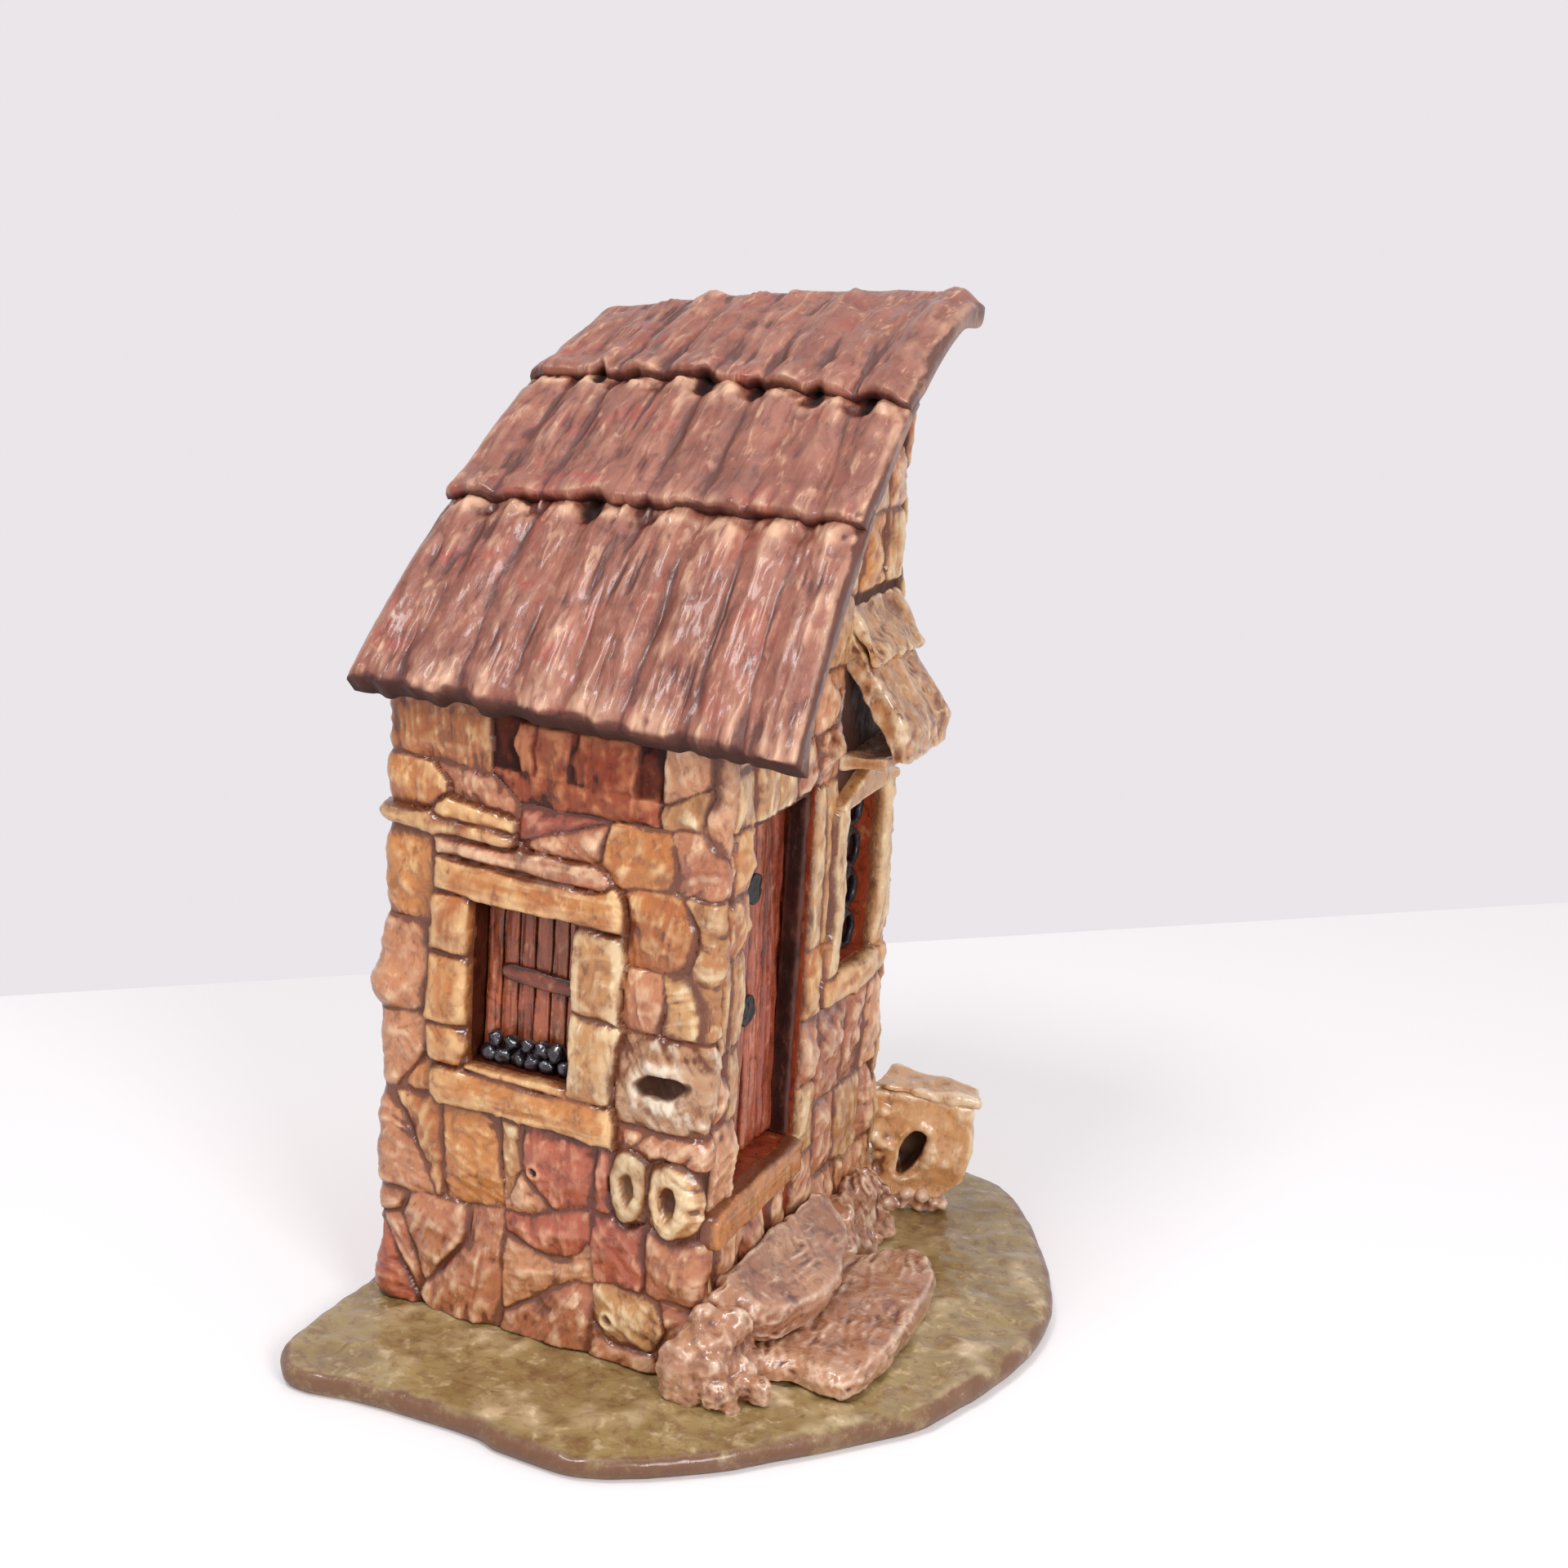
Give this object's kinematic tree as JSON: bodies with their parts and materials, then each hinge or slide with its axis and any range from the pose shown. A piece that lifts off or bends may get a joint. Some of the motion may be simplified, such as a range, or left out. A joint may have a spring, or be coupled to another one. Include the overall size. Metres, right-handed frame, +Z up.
{
  "type": "miniature cottage model",
  "caption": "Hand-built glazed clay model of a crooked rustic stone cottage with a curved barrel-tile roof, shuttered window, plank door, yard steps and a small oven on a flat base.",
  "frame": {"origin": "middle of the house footprint, on the underside of the ground slab", "axes": "+Z up; the window front faces -Y and the door wall faces +X"},
  "size_m": [0.0887, 0.1087, 0.1447],
  "materials": {
    "grass_glaze": "mottled olive glaze, glossy",
    "clay_glaze": "brown glaze pooled in the joints, glossy",
    "roof_glaze": "red-brown glaze over scratched clay, semi-gloss",
    "ochre_glaze": "ochre glaze, glossy",
    "cream_glaze": "cream glaze, glossy",
    "pink_glaze": "pink terracotta glaze, glossy",
    "red_glaze": "red-brown glaze, glossy",
    "dark_glaze": "dark brown glaze, glossy",
    "black_glaze": "black glaze, glossy",
    "rock_glaze": "pinkish-brown glaze over scratched clay, semi-gloss",
    "oven_glaze": "ochre-orange glaze, glossy"
  },
  "bodies": {
    "root": {"ground_slab": "grass_glaze", "front_wall": "clay_glaze", "door_wall": "clay_glaze", "left_wall": "clay_glaze", "back_wall": "clay_glaze", "roof_lower_course": "roof_glaze", "roof_middle_course": "roof_glaze", "roof_upper_course": "roof_glaze", "front_ochre_stones": "ochre_glaze", "front_cream_stones": "cream_glaze", "front_pink_stones": "pink_glaze", "front_red_stones": "red_glaze", "ring_stones": "cream_glaze", "split_stone": "cream_glaze", "eave_bricks": "red_glaze", "cornice_ledges": "ochre_glaze", "window_lintel": "ochre_glaze", "lintel_board": "red_glaze", "window_left_jamb": "ochre_glaze", "window_right_jamb": "cream_glaze", "window_sill": "ochre_glaze", "sill_ledge": "ochre_glaze", "shutter": "dark_glaze", "shutter_batten": "dark_glaze", "window_flowers": "black_glaze", "door_wall_ochre_stones": "ochre_glaze", "door_wall_cream_stones": "cream_glaze", "door_wall_pink_stones": "pink_glaze", "door_frame": "dark_glaze", "door_leaf": "red_glaze", "door_hinges": "black_glaze", "threshold": "ochre_glaze", "gable_pane": "dark_glaze", "gable_lattice": "black_glaze", "gable_boards": "cream_glaze", "gable_lintel": "cream_glaze", "gable_sill": "ochre_glaze", "hood_slab": "ochre_glaze", "hood_upper_slab": "pink_glaze", "hood_floor": "cream_glaze", "lower_step": "rock_glaze", "upper_step": "rock_glaze", "corner_rocks": "rock_glaze", "wall_rocks": "rock_glaze", "oven_body": "oven_glaze", "oven_top": "oven_glaze", "oven_feet": "rock_glaze", "left_wall_stones": "ochre_glaze", "back_wall_stones": "ochre_glaze"}
  },
  "joints": []
}
